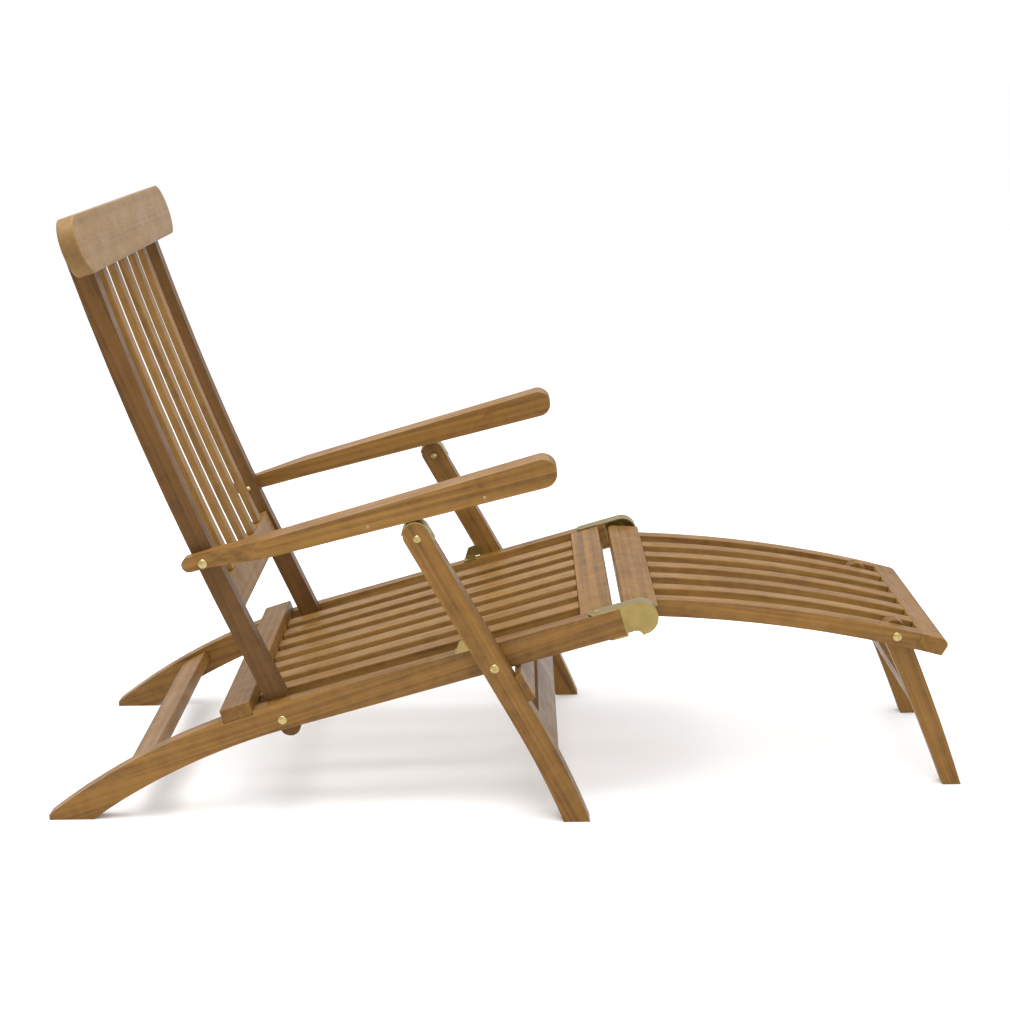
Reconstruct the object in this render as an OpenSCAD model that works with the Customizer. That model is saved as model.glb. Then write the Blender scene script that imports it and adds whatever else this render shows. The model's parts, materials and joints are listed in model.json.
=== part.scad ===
// Folding deck chair: slatted teak frame with brass fittings.
// X runs from the headrest end to the foot end, Y across the chair, Z up, floor at Z = 0.

/* [Seat frame] */
// Slope of the seat above the floor, degrees
seat_slope = 15.4; // [13:0.2:18]
// Half of the width over the two seat rails
rail_out = 270; // [262:1:276]
// Thickness of rails, legs and uprights across the chair
board_t = 26; // [24:1:27]
// Depth of a seat rail
rail_d = 46; // [44:1:48]
// Height of the rail axis above the floor at X = 0
rail_z0 = 281.3; // [280:0.1:283]
// Radius of the curved rear end of the rail, at its top edge
tail_r = 1120; // [1100:1:1150]
// Number of seat slats
seat_slats = 7; // [5:1:7]
// Width of a seat slat
seat_slat_w = 32; // [28:1:34]
// Thickness of the seat and footrest slats
slat_t = 20; // [16:1:21]

/* [Back] */
// Lean of the lower half of the back from the vertical, degrees
back_lean = 23.1; // [22.5:0.1:23.5]
// Lean that the curve takes off towards the top, degrees
back_curve = 7.3; // [6.5:0.1:8]
// Depth of a back upright
upright_d = 35; // [34:1:38]
// Straight length above the back pivot
back_straight = 200; // [180:5:230]
// Length of the curved upper part
back_arc = 660; // [640:5:680]
// Number of back slats
back_slats = 5; // [4:1:5]
// Width of a back slat
back_slat_w = 28; // [24:1:34]
// Thickness of a back slat
back_slat_t = 12; // [10:1:14]
// Height of the headrest board
headrest_h = 91; // [86:1:96]
// Half of the width of the headrest board
headrest_half = 338; // [300:1:345]

/* [Front legs] */
// Lean of the upper leg from the vertical, degrees
leg_lean = 28.4; // [27:0.2:30]
// Depth of a front leg
leg_d = 40; // [36:1:42]
// Thickness of a front leg across the chair
leg_t = 33; // [28:1:34]
// From the leg pivot up to the bolt at its rounded top
leg_up = 248; // [240:1:250]
// Bend of the lower leg towards the vertical, degrees
leg_bend = 8; // [6:0.5:10]

/* [Arms] */
// Width of an arm
arm_w = 48; // [44:1:50]
// Radius of the rounded rear end of an arm
arm_r0 = 12; // [11.5:0.5:13]
// Radius of the rounded front end of an arm
arm_r1 = 23; // [21:0.5:24]
// Between the centres of the two rounded ends
arm_len = 587; // [560:1:595]

/* [Footrest] */
// Half of the width over the footrest stiles
stile_out = 205; // [200:1:208]
// Depth of a footrest stile
stile_d = 29; // [27:1:32]
// Number of footrest slats
foot_slats = 5; // [4:1:5]
// Width of a footrest slat
foot_slat_w = 28; // [24:1:30]
// Lean of the footrest leg from the vertical, degrees
foot_leg_lean = 25; // [22:1:26]

/* [Brass] */
// Thickness of the brass straps and cheeks
brass_t = 2.5; // [2:0.1:3]
// Radius of the pivot bolts
bolt_r = 4; // [3.5:0.1:4.5]
// Radial clearance of a turning bolt or pin
fit = 0.05; // [0.02:0.01:0.08]

/* [Hidden] */
$fn = 48;

teak = "#9c7440";
teak_light = "#b08a58";
brass = "#c9b26a";
steps = 20;

// ---- points of the side view, [X, Z] ----
function turn(p, a) = [p[0] * cos(a) - p[1] * sin(a), p[0] * sin(a) + p[1] * cos(a)];
// A point given along the rail (u) and square to it (v)
function on_rail(u, v) = [0, rail_z0] + turn([u, v], seat_slope);

rail_in = rail_out - board_t;
leg_in = rail_out + 1.5;
leg_out = leg_in + leg_t;
upright_out = rail_in - 1;
upright_in = upright_out - board_t;
pivot_drop = -7;
back_pivot = on_rail(-387.8, pivot_drop);
leg_pivot = on_rail(-24.7, pivot_drop);
rail_end = 193;
knee_u = 223;
knee_v = -2;
knee = on_rail(knee_u, knee_v);
arm_pivot = back_pivot + turn([0, 291.6], back_lean + 0.1);
leg_top = leg_pivot + turn([0, leg_up], leg_lean);
leg_over = 5.6;
leg_end = leg_pivot + turn([0, leg_up + leg_over], leg_lean);

// ---- building helpers ----
// A side-view outline made into a board between y0 and y1
module board(y0, y1) {
    translate([0, y1, 0]) rotate([90, 0, 0]) linear_extrude(height = y1 - y0) children();
}
// A board on one side of the chair: side = 1 is the left, -1 the right
module side_board(side, y0, y1) {
    if (side > 0) board(y0, y1) children();
    else board(-y1, -y0) children();
}
// A round bar across the chair between y0 and y1, at a side-view point
module pin(p, r, y0, y1) {
    translate([p[0], y1, p[1]]) rotate([90, 0, 0]) cylinder(h = y1 - y0, r = r);
}
module side_pin(side, p, r, y0, y1) {
    if (side > 0) pin(p, r, y0, y1);
    else pin(p, r, -y1, -y0);
}
// Moves a rail-frame outline to its place in the side view
module rail_frame() {
    translate([0, rail_z0]) rotate(seat_slope) children();
}
// A domed screw or bolt head of radius r and height h that faces out at y
module dome(p, r, h, y, out) {
    ball = (r * r + h * h) / (2 * h);
    translate([p[0], y, p[1]]) rotate([out > 0 ? -90 : 90, 0, 0]) intersection() {
        translate([0, 0, h - ball]) sphere(r = ball);
        cylinder(h = h, r = r);
    }
}
// A pivot bolt: shank, slotted domed head outside, domed nut inside
module pivot_bolt(side, p, y_in, y_out) {
    side_pin(side, p, bolt_r, y_in, y_out);
    difference() {
        dome(p, 8, 3.6, side * y_out, side);
        translate([p[0], side * (y_out + 3.6), p[1]]) rotate([0, 45, 0])
            cube([20, 3.2, 1.6], center = true);
    }
    dome(p, 6.5, 4.5, side * y_in, -side);
}
// A closed outline between two lists of points
function outline(a, b) = concat(a, [for (i = [len(b) - 1:-1:0]) b[i]]);
function slat_y(i, n, pitch) = (i - (n + 1) / 2) * pitch;

// ---- seat frame ----
tail_u = -395;
function tail_pt(a, r) = on_rail(tail_u - r * sin(a), rail_d / 2 - tail_r + r * cos(a));
tail_turn = 22.5;
tail_deeper = 5;
module rail_outline() {
    top = [for (i = [0:steps]) tail_pt(tail_turn * i / steps, tail_r)];
    bottom = [for (i = [0:steps])
        tail_pt(tail_turn * i / steps, tail_r - rail_d - tail_deeper * i / steps)];
    intersection() {
        polygon(outline(concat([on_rail(rail_end, rail_d / 2)], top),
            concat([on_rail(rail_end, -rail_d / 2)], bottom)));
        translate([-769, 0]) square([1200, 700]);
    }
}
rear_bar_u = -482;
rear_bar_w = 52;
rear_bar_t = 23;
rear_bar_sink = 9;
module rear_bar_outline(grow) {
    rail_frame() translate([rear_bar_u - grow, rail_d / 2 - rear_bar_sink])
        rotate(2) square([rear_bar_w + 2 * grow, rear_bar_t]);
}
module seat_rail(side) {
    color(teak) difference() {
        side_board(side, rail_in, rail_out) difference() {
            rail_outline();
            rear_bar_outline(0);
        }
        side_pin(side, back_pivot, bolt_r + fit, rail_in - 1, rail_out + 1);
        side_pin(side, leg_pivot, bolt_r + fit, rail_in - 1, rail_out + 1);
    }
}
front_bar_w = 53;
front_bar_u = 128;
module seat_front_crossbar() {
    color(teak_light) board(-rail_in, rail_in) rail_frame()
        translate([front_bar_u, rail_d / 2 - 24]) square([front_bar_w, 24]);
}
module seat_rear_crossbar() {
    color(teak_light) board(-rail_out, rail_out) rear_bar_outline(0);
}
// A seat slat butts on the front crossbar and runs on under the rear one
module seat_slat(i) {
    y = slat_y(i, seat_slats, (2 * rail_in + 1) / (seat_slats + 1));
    top = rail_d / 2 - 1;
    lap_v = rail_d / 2 - rear_bar_sink;
    color(teak_light) board(y - seat_slat_w / 2, y + seat_slat_w / 2) difference() {
        rail_frame() polygon([[front_bar_u, top], [front_bar_u, top - slat_t],
            [rear_bar_u + 12, top - slat_t], [rear_bar_u + 12, lap_v],
            [rear_bar_u + rear_bar_w, lap_v], [rear_bar_u + rear_bar_w, top]]);
        rear_bar_outline(0);
    }
}
stretcher_a = 12.7;
module rear_leg_stretcher() {
    corner = tail_pt(stretcher_a, tail_r - 7);
    color(teak) board(-rail_in, rail_in) translate(corner)
        rotate(seat_slope + stretcher_a) translate([-26, -20]) square([50, 20]);
}

// ---- brass knee cup: straps on the rail, round cheek, inner end plate and pivot boss ----
cup_r = rail_d / 2 + brass_t - knee_v;
cup_step = 0.3;
cup_lap = 1;
pin_r = 5;
boss_r = 9;
module cup_cheek() {
    difference() {
        union() {
            translate([knee_u, knee_v]) circle(r = cup_r);
            translate([rail_end, -20]) square([knee_u - rail_end, rail_d / 2 + brass_t + 19.95]);
            polygon([[216, -31], [210, -12], [226, -12], [231, -cup_r]]);
        }
        translate([206, -32]) circle(r = 12.5);
    }
}
module cup_flange() {
    difference() {
        union() {
            translate([knee_u, knee_v]) circle(r = cup_r - cup_step);
            translate([rail_end + 1, 0])
                square([knee_u - rail_end - 1, rail_d / 2 + brass_t - cup_step - 0.05]);
        }
        translate([knee_u, knee_v]) circle(r = cup_r - brass_t - 0.1);
        translate([rail_end - 10, -60]) square([knee_u - rail_end + 10, 60 + rail_d / 2]);
        translate([rail_end, -60]) square([100, 46]);
    }
}
// A strap along the rail with a rounded end
tail_point = 12;
tail_wide = board_t / 2 + 2;
module strap_tail(side, length, v) {
    y_mid = side * (rail_out - board_t / 2);
    rail_at = on_rail(rail_end, v);
    shoulder = length - tail_point;
    intersection() {
        side_board(side, rail_in, rail_out) rail_frame()
            translate([rail_end - length - 5, v]) square([length + 5 + brass_t / 2, brass_t]);
        translate([rail_at[0], y_mid, rail_at[1]]) rotate([0, -seat_slope, 0]) rotate([0, 0, 180])
            translate([0, 0, -brass_t]) linear_extrude(height = 3 * brass_t)
                polygon(concat([[-brass_t, -tail_wide]],
                    [for (i = [0:steps]) let (a = 180 * i / steps - 90)
                        [shoulder + tail_point * cos(a), tail_wide * sin(a)]],
                    [[-brass_t, tail_wide]]));
    }
}
module knee_cup(side) {
    color(brass) difference() {
        union() {
            side_board(side, rail_out - brass_t, rail_out) rail_frame() cup_cheek();
            side_board(side, rail_in, rail_out - brass_t + cup_lap) rail_frame() cup_flange();
            side_board(side, rail_in, rail_out - brass_t + cup_lap) rail_frame()
                translate([rail_end, cup_step - rail_d / 2 - brass_t])
                    square([brass_t, rail_d + 2 * (brass_t - cup_step)]);
            side_pin(side, knee, boss_r, rail_in + 1, rail_out - brass_t + cup_lap);
            strap_tail(side, 52, rail_d / 2);
            strap_tail(side, 30, -rail_d / 2 - brass_t);
        }
        side_pin(side, knee, pin_r + fit, rail_in - 1, rail_out - brass_t);
    }
}
// Countersunk cross-slot screws of the cup straps: a flush disc with a slot
module strap_screw(side, u, v, up) {
    p = on_rail(u, v);
    translate([p[0], side * (rail_out - board_t / 2), p[1]]) rotate([0, -seat_slope, 0])
        rotate([up > 0 ? 0 : 180, 0, 0]) difference() {
            cylinder(h = 1.2, r = 5);
            translate([-6, -0.6, 0.7]) cube([12, 1.2, 1]);
            translate([-0.6, -6, 0.7]) cube([1.2, 12, 1]);
        }
}
module knee_cup_screws() {
    color(brass) for (side = [1, -1]) {
        strap_screw(side, rail_end - 36, rail_d / 2 + brass_t, 1);
        strap_screw(side, rail_end - 16, -rail_d / 2 - brass_t, -1);
    }
}

// ---- back ----
module back_pivot_bolts() {
    color(brass) for (side = [1, -1]) pivot_bolt(side, back_pivot, upright_in, rail_out);
}
// Points of the back, at height s along its axis and d in front of the axis
function back_pt(s, d) =
    let (bent = max(0, s - back_straight), a = back_curve * bent / back_arc,
        r = back_arc / back_curve * 180 / PI)
    back_pivot + turn([d * cos(a) + r * (1 - cos(a)),
        min(s, back_straight) + r * sin(a) - d * sin(a)], back_lean);
function back_line(s0, s1, d) = [for (i = [0:steps]) back_pt(s0 + (s1 - s0) * i / steps, d)];
module back_strip(s0, s1, d0, d1) {
    polygon(outline(back_line(s0, s1, d0), back_line(s0, s1, d1)));
}
head_s_mid = 826;
head_s0 = head_s_mid - headrest_h / 2;
head_proud = 18.75;
head_t = 28;
head_d1 = upright_d / 2 + head_proud;
head_d0 = head_d1 - head_t;
head_gap = 0.3;
front_d = upright_d / 2 - 5;
upright_foot = 22;
upright_end = head_s0 + 62;
module upright(side) {
    color(teak) difference() {
        side_board(side, upright_in, upright_out)
            polygon(outline(back_line(-upright_foot, upright_end, -upright_d / 2),
                concat([for (i = [1:steps - 1]) let (a = 180 * i / steps - 90)
                        back_pt(-upright_foot - upright_d / 2 * cos(a), upright_d / 2 * sin(a))],
                    back_line(-upright_foot, head_s0 - head_gap, upright_d / 2),
                    back_line(head_s0 - head_gap, upright_end, head_d0))));
        side_pin(side, back_pivot, bolt_r + fit, upright_in - 1, upright_out + 1);
        side_pin(side, arm_pivot, bolt_r + fit, upright_in - 1, upright_out + 1);
    }
}
// Headrest: a slightly curved board, wider than the back, with rounded ends
head_end_r = headrest_h / 2 + 1.5;
head_over = 12;
module headrest_outline() {
    y = headrest_half - head_end_r;
    half = asin(headrest_h / 2 / head_end_r);
    polygon([for (side = [1, -1]) for (i = [0:steps])
        let (a = half * (2 * i / steps - 1)) side * [y + head_end_r * cos(a), head_end_r * sin(a)]]);
}
module headrest_board() {
    mid = back_pt(head_s_mid, 0);
    lean = back_lean - back_curve * (head_s_mid - back_straight) / back_arc;
    color(teak_light) intersection() {
        board(-headrest_half - 1, headrest_half + 1)
            back_strip(head_s0 - head_over, head_s0 + headrest_h + head_over, head_d0, head_d1);
        translate([mid[0], 0, mid[1]]) rotate([0, -lean, 0]) rotate([90, 0, 90])
            linear_extrude(height = 120, center = true) headrest_outline();
    }
}
cross_s0 = 184;
cross_s1 = 242;
module back_lower_crossbar() {
    color(teak_light) board(-upright_in, upright_in)
        back_strip(cross_s0, cross_s1, front_d - 22, front_d);
}
back_pitch = 75;
module back_slat(i) {
    y = slat_y(i, back_slats, back_pitch);
    color(teak_light) board(y - back_slat_w / 2, y + back_slat_w / 2)
        back_strip(cross_s1, head_s0, front_d - 1 - back_slat_t, front_d - 1);
}

// ---- arms ----
arm_slope = 14.74;
arm_in = rail_in + 1;
arm_set_out = 6;
arm_out = arm_in + arm_set_out + arm_w;
arm_rear_w = 22;
arm_kink = 110;
arm_behind = 22;
arm_raise = 4;
arm_rear = arm_pivot + turn([-arm_behind, arm_raise], arm_slope);
arm_front = arm_rear + turn([arm_len, 0], arm_slope);
arm_taper = asin((arm_r1 - arm_r0) / arm_len);
// A point of the arm's underside, at a distance along it from the pivot
function underside(s, up) = arm_rear + turn([s + arm_behind, up - arm_r0], arm_slope - arm_taper);
function arm_end(p, r, a0, a1) = [for (i = [0:steps])
    p + turn([r, 0], a0 + (a1 - a0) * i / steps)];
module arm_outline() {
    up = arm_slope + 90 + arm_taper;
    down = arm_slope - 90 - arm_taper;
    polygon(concat(arm_end(arm_front, arm_r1, down, up), arm_end(arm_rear, arm_r0, up, down + 360)));
}
module arm_pivot_bolt(side) {
    color(brass) pivot_bolt(side, arm_pivot, upright_in, arm_in + arm_rear_w);
}
rack_s0 = 258;
rack_s1 = 488;
rack_h = 15;
rack_half_t = 3;
arm_mid = (leg_in + arm_out) / 2;
module arm(side) {
    color(teak) difference() {
        side_board(side, arm_in, arm_out) arm_outline();
        translate([arm_pivot[0], 0, arm_pivot[1]]) rotate([0, -arm_slope, 0])
            linear_extrude(height = 120, center = true) polygon([
                [-60, side * (arm_in + arm_rear_w)], [14, side * (arm_in + arm_rear_w)],
                [arm_kink, side * arm_out], [arm_kink, side * (arm_out + 20)],
                [-60, side * (arm_out + 20)]]);
        translate([arm_pivot[0], 0, arm_pivot[1]]) rotate([0, -arm_slope, 0])
            linear_extrude(height = 200, center = true) polygon([
                [14, side * (arm_in - 1)], [arm_kink, side * (arm_in + arm_set_out)],
                [arm_len + 40, side * (arm_in + arm_set_out)], [arm_len + 40, side * (arm_in - 20)],
                [14, side * (arm_in - 20)]]);
        side_board(side, arm_mid - rack_half_t, arm_mid + rack_half_t) polygon([
            underside(rack_s0, -2), underside(rack_s1, -2),
            underside(rack_s1, rack_h + 1), underside(rack_s0, rack_h + 1)]);
        side_pin(side, arm_pivot, bolt_r + fit, arm_in - 1, arm_in + arm_rear_w + 1);
        for (s = [rack_s0 + 20, rack_s1 - 20])
            side_pin(side, underside(s, 9), 3, arm_mid - 8, arm_out + 1);
    }
}
// Notched brass rack in a groove of the arm's underside, one notch for each back position
notch_pitch = 28;
notches = 6;
module arm_rack(side) {
    color(brass) side_board(side, arm_mid - rack_half_t, arm_mid + rack_half_t) difference() {
        polygon([underside(rack_s0, 0.5), underside(rack_s1, 0.5),
            underside(rack_s1, rack_h + 1), underside(rack_s0, rack_h + 1)]);
        for (i = [0:notches - 1])
            translate(underside(rack_s0 + 45 + i * notch_pitch, 0)) circle(r = 4.5);
        for (s = [rack_s0 + 20, rack_s1 - 20]) translate(underside(s, 9)) circle(r = 3);
    }
}
module rack_pins(side) {
    color(brass) for (s = [rack_s0 + 20, rack_s1 - 20])
        side_pin(side, underside(s, 9), 3, arm_mid - 8, arm_out);
}

// ---- front legs ----
function leg_pt(s, d) = leg_pivot + turn([d, s], leg_lean);
leg_straight = 100;
leg_arc = 215;
function low_leg_pt(t, d) =
    let (a = leg_bend * t / leg_arc, r = leg_arc / leg_bend * 180 / PI)
    leg_pt(-leg_straight - (r + d) * sin(a), d - (r + d) * (1 - cos(a)));
module leg_outline() {
    intersection() {
        polygon(outline(
            concat([for (i = [0:steps]) let (a = 90 + 90 * i / steps)
                    leg_end + turn([leg_d / 2, 0], leg_lean + a)],
                [for (i = [0:steps]) low_leg_pt(leg_arc * i / steps, -leg_d / 2)]),
            concat([for (i = [1:steps]) let (a = 90 - 90 * i / steps)
                    leg_end + turn([leg_d / 2, 0], leg_lean + a)],
                [for (i = [0:steps]) low_leg_pt(leg_arc * i / steps, leg_d / 2)])));
        translate([-400, 0]) square([800, 800]);
    }
}
module front_leg(side) {
    color(teak) difference() {
        side_board(side, leg_in, leg_out) leg_outline();
        side_pin(side, leg_pivot, bolt_r, leg_in - 1, leg_out + 1);
        side_pin(side, leg_top, 3, leg_in - 1, leg_out + 1);
    }
}
module leg_stretcher() {
    color(teak) board(-leg_in, leg_in) polygon(outline(
        [for (i = [0:4]) low_leg_pt(14 + 18 * i, 0)],
        [for (i = [0:4]) low_leg_pt(14 + 18 * i, 18)]));
}
// Bar across the front of both legs, close under the rails
module seat_stop_bar() {
    color(teak) board(-leg_out, leg_out) polygon([leg_pt(-29, leg_d / 2),
        leg_pt(-76, leg_d / 2), leg_pt(-76, leg_d / 2 + 13), leg_pt(-26, leg_d / 2 + 13)]);
}
module leg_pivot_bolts() {
    color(brass) for (side = [1, -1]) pivot_bolt(side, leg_pivot, rail_in, leg_out);
}
// Brass cap: a band that hugs the rounded leg top and runs down the leg's front edge
cap_low = 22;
cap_turn = 150;
cap_gap = 0.1;
function cap_line(r) = concat([[r, -cap_low]],
    [for (i = [0:steps]) let (a = cap_turn * i / steps) [r * cos(a), r * sin(a)]]);
module cap_outline() {
    translate(leg_end) rotate(leg_lean)
        polygon(outline(cap_line(leg_d / 2 + brass_t), cap_line(leg_d / 2 + cap_gap)));
}
module leg_cap(side) {
    color(brass) side_board(side, leg_in + 1, leg_out - 1) cap_outline();
}
module leg_cap_bolts() {
    color(brass) for (side = [1, -1]) {
        side_pin(side, leg_top, 3, leg_in, leg_out);
        dome(leg_top, 6.5, 3.2, side * leg_out, side);
        dome(leg_top, 6.5, 3.2, side * leg_in, -side);
    }
}
// One round-headed screw through each cap, low on the front edge of the leg
screw_r = 4.5;
screw_h = 2.6;
module leg_cap_screws() {
    ball = (screw_r * screw_r + screw_h * screw_h) / (2 * screw_h);
    p = leg_pt(leg_up + leg_over - cap_low + 7, leg_d / 2 + brass_t);
    color(brass) for (side = [1, -1])
        translate([p[0], side * (leg_in + leg_t / 2), p[1]]) rotate([0, 90 - leg_lean, 0])
            intersection() {
                translate([0, 0, screw_h - ball]) sphere(r = ball);
                cylinder(h = screw_h, r = screw_r);
            }
}
// Brass angle on the inner face of the leg: its flange lies on the rail
bracket_u = -83;
bracket_step = 0.4;
module leg_stop_bracket(side) {
    low = rail_d / 2 + bracket_step;
    color(brass) {
        side_board(side, leg_in - 1.5, leg_in) rail_frame()
            polygon([[bracket_u + bracket_step, low + bracket_step], [bracket_u + 41, low + bracket_step],
                [bracket_u + 33, low + 22], [bracket_u + 13, low + 20]]);
        side_board(side, rail_in + 4, leg_in - bracket_step) rail_frame()
            translate([bracket_u, low]) square([22, 2]);
    }
}

// ---- footrest ----
foot_tilt = -3;
bar_w = 56;
bar_t = 27;
// Points of the footrest, at distance s from the knee and d above its axis
foot_straight = 40;
foot_arc = 450;
foot_turn = 12;
function foot_pt(s, d) =
    let (bent = max(0, s - foot_straight), a = foot_turn * bent / foot_arc,
        r = foot_arc / foot_turn * 180 / PI)
    knee + turn([min(s, foot_straight) + (r + d) * sin(a), d - (r + d) * (1 - cos(a))],
        foot_tilt);
function foot_line(s0, s1, d) = [for (i = [0:steps]) foot_pt(s0 + (s1 - s0) * i / steps, d)];
module foot_strip(s0, s1, d0, d1) {
    polygon(outline(foot_line(s0, s1, d0), foot_line(s0, s1, d1)));
}
stile_top = 12;
stile_in = stile_out - board_t;
nose_s = 470;
nose_end = 518;
foot_leg_s = 433;
foot_leg_pivot = foot_pt(foot_leg_s, stile_top - stile_d / 2);
foot_leg_t = 24;
foot_leg_out = stile_in - 3;
foot_leg_in = foot_leg_out - foot_leg_t;
module stile(side) {
    color(teak) difference() {
        side_board(side, stile_in, stile_out)
            foot_strip(bar_w / 2, nose_s, stile_top - stile_d, stile_top);
        side_pin(side, foot_leg_pivot, bolt_r + fit, stile_in - 1, stile_out + 1);
    }
}
bar_end = rail_in - 3;
module footrest_crossbar() {
    nose_r = 8;
    color(teak_light) difference() {
        board(-bar_end, bar_end) translate(knee) rotate(foot_tilt) union() {
            translate([nose_r - bar_w / 2, -bar_t / 2]) square([bar_w - nose_r, bar_t]);
            translate([-bar_w / 2, nose_r - bar_t / 2]) square([bar_w, bar_t - 2 * nose_r]);
            for (z = [-1, 1]) translate([nose_r - bar_w / 2, z * (bar_t / 2 - nose_r)])
                circle(r = nose_r);
        }
        for (side = [1, -1]) side_pin(side, knee, pin_r, bar_end - 30, bar_end + 1);
    }
}
module footrest_pivot_pins() {
    color(brass) for (side = [1, -1]) side_pin(side, knee, pin_r, bar_end - 30, rail_out - 4);
}
// Nose board: its front falls away to a thin rounded edge
module footrest_nose_board() {
    top = foot_line(nose_s, nose_end - 12, stile_top);
    color(teak_light) board(-stile_out, stile_out) polygon(concat(
        [foot_pt(nose_s, stile_top - 29)], top,
        [foot_pt(nose_end - 5, stile_top - 1.5), foot_pt(nose_end, stile_top - 6),
            foot_pt(nose_end + 1, stile_top - 11), foot_pt(nose_end - 4, stile_top - 29)]));
}
module footrest_slat(i) {
    y = slat_y(i, foot_slats, 2 * (stile_out - board_t / 2) / (foot_slats + 1));
    color(teak_light) board(y - foot_slat_w / 2, y + foot_slat_w / 2)
        foot_strip(bar_w / 2, nose_s, stile_top - slat_t, stile_top);
}
// Footrest legs: rounded top at the bolt, a light sweep forwards, cut flat on the floor
foot_leg_d = 40;
foot_leg_arc = 330;
foot_leg_taper = 12;
foot_leg_bend = 5;
function foot_leg_pt(t, d) =
    let (a = foot_leg_bend * t / foot_leg_arc, r = foot_leg_arc / foot_leg_bend * 180 / PI)
    foot_leg_pivot + turn([d - (r + d) * (1 - cos(a)), -(r + d) * sin(a)], foot_leg_lean);
module foot_leg_outline() {
    intersection() {
        union() {
            translate(foot_leg_pivot) circle(r = foot_leg_d / 2);
            polygon(outline(
                [for (i = [0:steps]) foot_leg_pt(foot_leg_arc * i / steps, -foot_leg_d / 2)],
                [for (i = [0:steps]) foot_leg_pt(foot_leg_arc * i / steps,
                    foot_leg_d / 2 - foot_leg_taper * i / steps)]));
        }
        translate([500, 0]) square([400, 400]);
    }
}
module footrest_leg(side) {
    color(teak) difference() {
        side_board(side, foot_leg_in, foot_leg_out) foot_leg_outline();
        side_pin(side, foot_leg_pivot, bolt_r, foot_leg_in - 1, foot_leg_out + 1);
    }
}
module footrest_leg_brace() {
    color(teak) board(-foot_leg_in, foot_leg_in) polygon(outline(
        [for (i = [0:3]) foot_leg_pt(95 + 15 * i, -foot_leg_d / 2)],
        [for (i = [0:3]) foot_leg_pt(95 + 15 * i, -foot_leg_d / 2 + 16)]));
}
module footrest_leg_bolts() {
    color(brass) for (side = [1, -1])
        pivot_bolt(side, foot_leg_pivot, foot_leg_in, stile_out);
}

// ---- drawing ----
seat_rail(1);  // seat_rail_left
seat_rail(-1);  // seat_rail_right
seat_front_crossbar();
seat_rear_crossbar();
rear_leg_stretcher();
for (i = [1:seat_slats])
    seat_slat(i);
knee_cup(1);  // knee_cup_left
knee_cup(-1);  // knee_cup_right
knee_cup_screws();
back_pivot_bolts();
upright(1);  // back_upright_left
upright(-1);  // back_upright_right
headrest_board();
back_lower_crossbar();
for (i = [1:back_slats])
    back_slat(i);
arm_pivot_bolt(1);  // arm_bolt_left
arm_pivot_bolt(-1);  // arm_bolt_right
arm(1);  // arm_left
arm(-1);  // arm_right
arm_rack(1);  // arm_rack_left
arm_rack(-1);  // arm_rack_right
rack_pins(1);  // rack_pins_left
rack_pins(-1);  // rack_pins_right
front_leg(1);  // front_leg_left
front_leg(-1);  // front_leg_right
leg_stretcher();
seat_stop_bar();
leg_cap(1);  // leg_cap_left
leg_cap(-1);  // leg_cap_right
leg_cap_bolts();
leg_cap_screws();
leg_stop_bracket(1);  // leg_stop_bracket_left
leg_stop_bracket(-1);  // leg_stop_bracket_right
leg_pivot_bolts();
stile(1);  // footrest_stile_left
stile(-1);  // footrest_stile_right
footrest_crossbar();
footrest_nose_board();
for (i = [1:foot_slats])
    footrest_slat(i);
footrest_pivot_pins();
footrest_leg(1);  // footrest_leg_left
footrest_leg(-1);  // footrest_leg_right
footrest_leg_brace();
footrest_leg_bolts();
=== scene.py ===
# %% [markdown]
# # A folding deck chair in teak and brass
#
# The chair is a steamer: a slatted seat on two rails that stand on the floor behind, a back
# that leans on two arms, a hinged footrest, and brass at every joint. The frame of solids
# comes in first. Each wooden piece is then made again with eased edges and a grain of its
# own, the slats and the screws are laid out by Geometry Nodes, and the brass gets its polish.

import json
import math
import random

import bmesh
import bpy
from mathutils import Matrix, Vector


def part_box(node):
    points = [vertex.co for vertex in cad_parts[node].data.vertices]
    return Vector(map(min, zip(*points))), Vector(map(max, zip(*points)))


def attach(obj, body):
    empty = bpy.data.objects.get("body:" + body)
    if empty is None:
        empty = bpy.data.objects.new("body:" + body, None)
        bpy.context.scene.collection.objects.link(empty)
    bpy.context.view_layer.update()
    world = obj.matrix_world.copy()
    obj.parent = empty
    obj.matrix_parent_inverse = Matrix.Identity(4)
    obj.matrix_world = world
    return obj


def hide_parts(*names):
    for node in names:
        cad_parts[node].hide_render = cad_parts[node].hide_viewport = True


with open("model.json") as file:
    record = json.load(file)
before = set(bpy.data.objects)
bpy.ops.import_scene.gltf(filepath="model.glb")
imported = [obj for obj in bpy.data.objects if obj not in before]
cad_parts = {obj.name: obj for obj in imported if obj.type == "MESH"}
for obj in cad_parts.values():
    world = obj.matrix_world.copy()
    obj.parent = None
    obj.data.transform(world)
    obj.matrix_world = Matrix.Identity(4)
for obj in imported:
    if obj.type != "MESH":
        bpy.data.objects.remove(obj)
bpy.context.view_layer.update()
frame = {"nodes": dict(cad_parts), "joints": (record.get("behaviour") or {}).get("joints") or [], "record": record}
NODES = frame["nodes"]
BODY_OF = {n: b for b, ns in frame["record"]["behaviour"]["bodies"].items() for n in ns}
JOINTS = {j["name"]: j for j in frame["joints"]}

# %% [markdown]
# ## The camera
#
# The chair is seen from its right-hand side and a little from above, with a long lens, so the
# near and the far side lie close together in the picture. A camera is set by where it stands
# and by three directions: right, up and back. They are worked out here from three angles.

# %% Camera
PITCH = math.radians(14.7744)
YAW = math.radians(-0.5686)
ROLL = math.radians(-1.0067)
SENSOR = 36.0
FOCAL_SHARE = 1700 / 1010
CAMERA_PLACE = (0.024666, -2.869943, 1.216554)

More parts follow.
